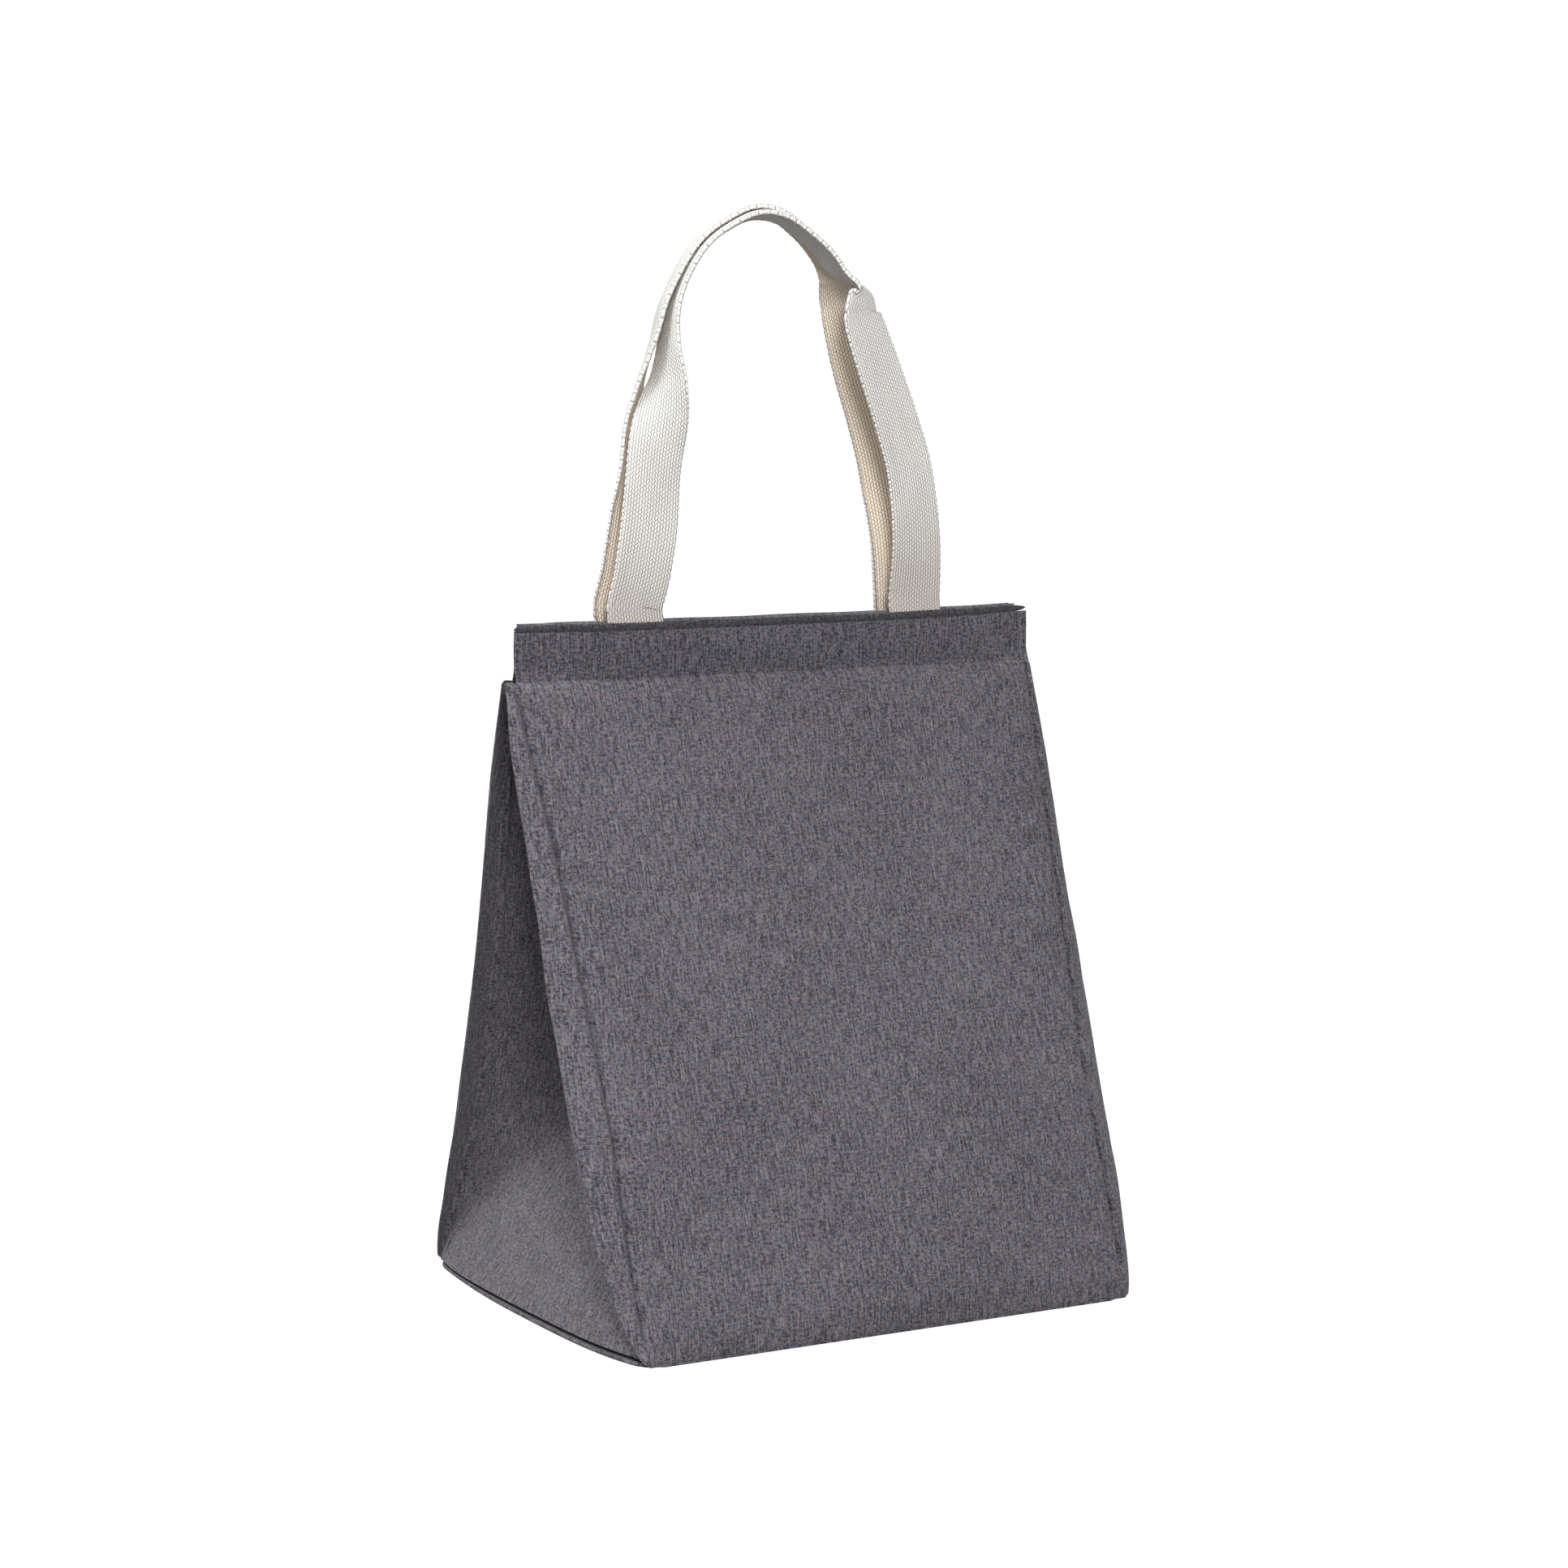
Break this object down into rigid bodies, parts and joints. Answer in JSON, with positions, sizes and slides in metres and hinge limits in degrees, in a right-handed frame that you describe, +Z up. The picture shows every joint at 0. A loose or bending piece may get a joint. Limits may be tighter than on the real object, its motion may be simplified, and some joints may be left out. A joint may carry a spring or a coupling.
{
  "type": "cooler bag",
  "caption": "Soft cooler bag: padded, foil-lined tent-shaped body with fold-in side gussets, a touch-fastened mouth and webbing handles.",
  "frame": {"origin": "middle of the base, on the surface that the bag stands on", "axes": "+X across the front to the right as seen from the front, -Y towards the front, +Z up"},
  "size_m": [0.247, 0.2058, 0.4576],
  "materials": {
    "grey_cloth": "matte heather weave",
    "webbing": "matte herringbone cotton webbing",
    "foam": "closed-cell foam sheet",
    "foil": "metallised lining film",
    "stiff_board": "plain fibre board",
    "touch_tape": "hook and loop tape"
  },
  "bodies": {
    "root": {"base_panel": "grey_cloth", "base_board": "stiff_board", "base_foam": "foam", "base_lining": "foil", "left_gusset": "grey_cloth", "left_gusset_lining": "foil", "left_gusset_lower_foam": "foam", "right_gusset": "grey_cloth", "right_gusset_lining": "foil", "right_gusset_lower_foam": "foam"},
    "front_wall": {"front_panel": "grey_cloth", "front_foam": "foam", "front_lining": "foil", "front_band": "grey_cloth", "front_band_facing": "grey_cloth", "hook_tape": "touch_tape", "front_left_seam_allowance": "grey_cloth", "front_right_seam_allowance": "grey_cloth", "front_handle_left_tail": "webbing", "front_handle_right_tail": "webbing", "left_gusset_front_foam": "foam", "right_gusset_front_foam": "foam"},
    "front_handle": {"front_handle": "webbing"},
    "back_wall": {"back_panel": "grey_cloth", "back_foam": "foam", "back_lining": "foil", "back_band": "grey_cloth", "back_band_facing": "grey_cloth", "loop_tape": "touch_tape", "back_left_seam_allowance": "grey_cloth", "back_right_seam_allowance": "grey_cloth", "back_handle_left_tail": "webbing", "back_handle_right_tail": "webbing", "left_gusset_back_foam": "foam", "right_gusset_back_foam": "foam"},
    "back_handle": {"back_handle": "webbing"}
  },
  "joints": [
    {"name": "front_wall_open", "type": "hinge", "parent": "root", "child": "front_wall", "pos_m": [0, -0.10215, 0.0003], "axis": [1, 0, 0], "range_deg": [0, 12], "deforming": ["left_gusset", "left_gusset_lining", "right_gusset", "right_gusset_lining"]},
    {"name": "back_wall_open", "type": "hinge", "parent": "root", "child": "back_wall", "pos_m": [0, 0.10215, 0.0003], "axis": [1, 0, 0], "range_deg": [-12, 0], "deforming": ["left_gusset", "left_gusset_lining", "right_gusset", "right_gusset_lining"]},
    {"name": "front_handle_swing", "type": "hinge", "parent": "front_wall", "child": "front_handle", "pos_m": [0, -0.0063, 0.2895], "axis": [1, 0, 0], "range_deg": [0, 145], "deforming": ["front_handle_left_tail", "front_handle_right_tail"]},
    {"name": "back_handle_swing", "type": "hinge", "parent": "back_wall", "child": "back_handle", "pos_m": [0, 0.0063, 0.2895], "axis": [1, 0, 0], "range_deg": [-145, 0], "deforming": ["back_handle_left_tail", "back_handle_right_tail"]}
  ]
}
